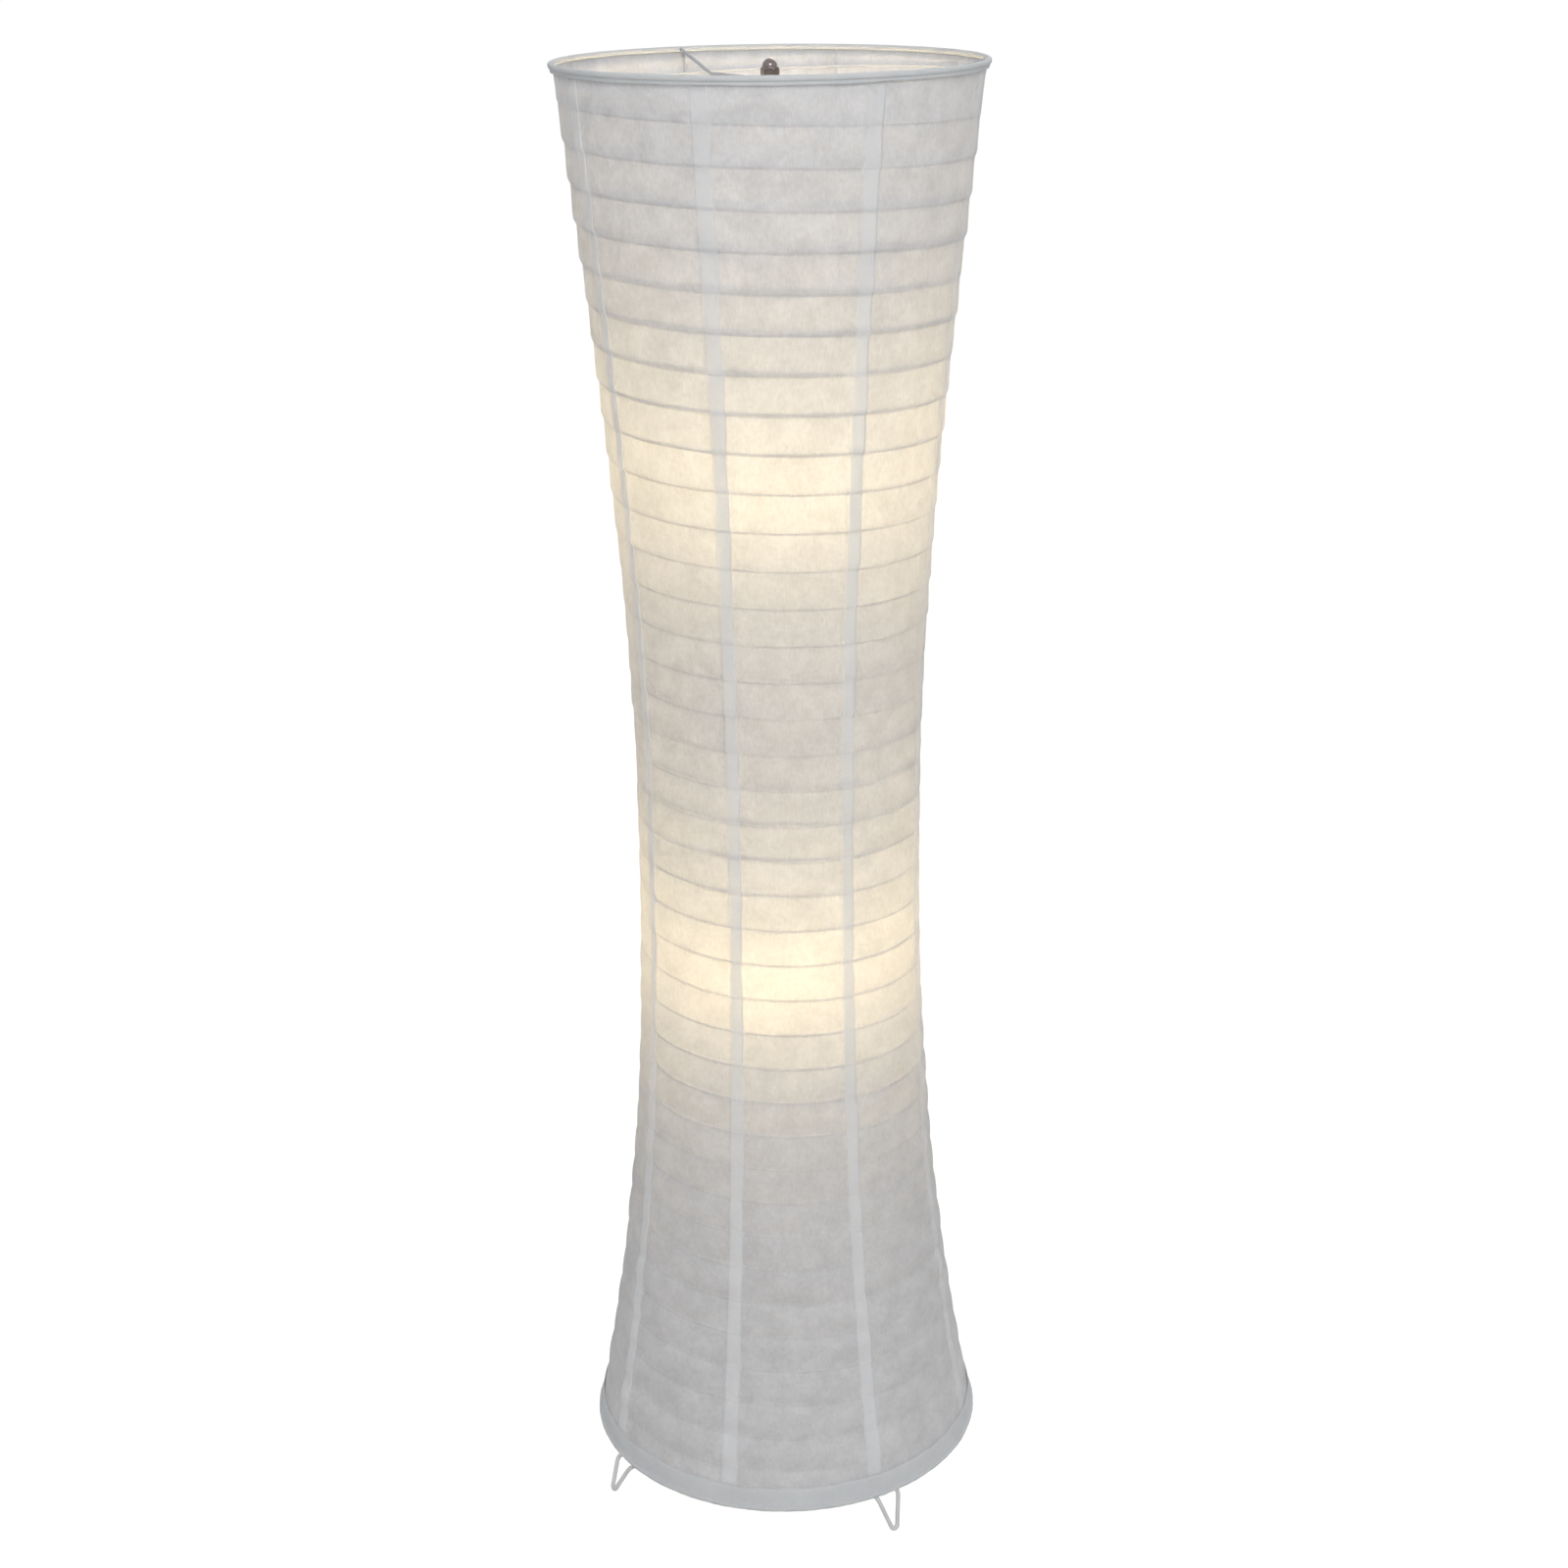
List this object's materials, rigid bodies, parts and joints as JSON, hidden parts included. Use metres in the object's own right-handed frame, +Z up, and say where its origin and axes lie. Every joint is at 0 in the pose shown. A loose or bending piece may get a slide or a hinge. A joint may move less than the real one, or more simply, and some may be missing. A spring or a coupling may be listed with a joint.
{
  "type": "floor lamp",
  "caption": "Tall hourglass floor lamp: a paper lantern shade on a spiral wire, held stretched over a slim rod with two bulbs by a top spider and cap nut, on short wire feet.",
  "frame": {"origin": "on the floor, on the lamp's vertical axis", "axes": "+Z up along the rod; the pictured front, where the lamp holders stand, faces -Y; +X to the viewer's right"},
  "size_m": [0.3516, 0.3516, 1.2497],
  "materials": {
    "paper": "matte",
    "binding_paper": "matte",
    "white_wire": "satin",
    "white_steel": "satin",
    "zinc_steel": "satin",
    "polished_nut": "polished",
    "bush_plastic": "matte",
    "holder_plastic": "satin",
    "porcelain": "gloss",
    "contact_brass": "satin",
    "bulb_insulator": "gloss",
    "bulb_cap_metal": "satin",
    "bulb_collar_plastic": "satin",
    "opal_dome": "satin",
    "lead_insulation": "satin"
  },
  "bodies": {
    "stand": {"base_loop_upper": "white_wire", "base_loop_lower": "white_wire", "clamp_plate_upper": "white_steel", "clamp_plate_lower": "white_steel", "base_nipple": "zinc_steel", "base_nut": "zinc_steel", "cord_inlet_bush": "bush_plastic", "rod_lower": "white_steel", "rod_middle": "white_steel", "rod_upper": "white_steel", "rod_joint_nipple_lower": "zinc_steel", "rod_joint_nipple_upper": "zinc_steel", "top_stud": "zinc_steel", "lower_bracket": "white_steel", "lower_holder_nipple": "zinc_steel", "lower_locknut": "zinc_steel", "lower_holder_cap": "holder_plastic", "lower_holder_body": "holder_plastic", "lower_contact_block": "porcelain", "lower_screw_shell": "contact_brass", "lower_centre_contact": "contact_brass", "lower_lead": "lead_insulation", "upper_bracket": "white_steel", "upper_holder_nipple": "zinc_steel", "upper_locknut": "zinc_steel", "upper_holder_cap": "holder_plastic", "upper_holder_body": "holder_plastic", "upper_contact_block": "porcelain", "upper_screw_shell": "contact_brass", "upper_centre_contact": "contact_brass", "upper_lead": "lead_insulation"},
    "shade": {"top_ring": "white_wire", "bottom_ring": "white_wire", "top_rim_binding": "binding_paper", "bottom_rim_binding": "binding_paper", "spiral_wire": "white_wire", "spider_arm_1": "white_wire", "spider_arm_2": "white_wire", "spider_arm_3": "white_wire", "spider_hub": "white_steel", "hub_washer": "zinc_steel", "paper_panel_1": "paper", "paper_panel_2": "paper", "paper_panel_3": "paper", "paper_panel_4": "paper", "paper_panel_5": "paper", "paper_panel_6": "paper", "paper_panel_7": "paper", "paper_panel_8": "paper"},
    "cap_nut": {"cap_nut": "polished_nut"},
    "lower_bulb": {"lower_bulb_contact": "bulb_insulator", "lower_bulb_cap": "bulb_cap_metal", "lower_bulb_collar": "bulb_collar_plastic", "lower_bulb_dome": "opal_dome"},
    "upper_bulb": {"upper_bulb_contact": "bulb_insulator", "upper_bulb_cap": "bulb_cap_metal", "upper_bulb_collar": "bulb_collar_plastic", "upper_bulb_dome": "opal_dome"}
  },
  "joints": [
    {"name": "shade_lift", "type": "slide", "parent": "stand", "child": "shade", "axis": [0, 0, 1], "range_m": [0, 1.22]},
    {"name": "cap_nut_turn", "type": "hinge", "parent": "shade", "child": "cap_nut", "pos_m": [0, 0, 1.243], "axis": [0, 0, 1], "range_deg": [0, 2160]},
    {"name": "lower_bulb_turn", "type": "hinge", "parent": "stand", "child": "lower_bulb", "pos_m": [0, -0.045, 0.505], "axis": [0, 0, 1], "range_deg": [0, 1260]},
    {"name": "upper_bulb_turn", "type": "hinge", "parent": "stand", "child": "upper_bulb", "pos_m": [0, -0.045, 0.928], "axis": [0, 0, 1], "range_deg": [0, 1260]}
  ]
}
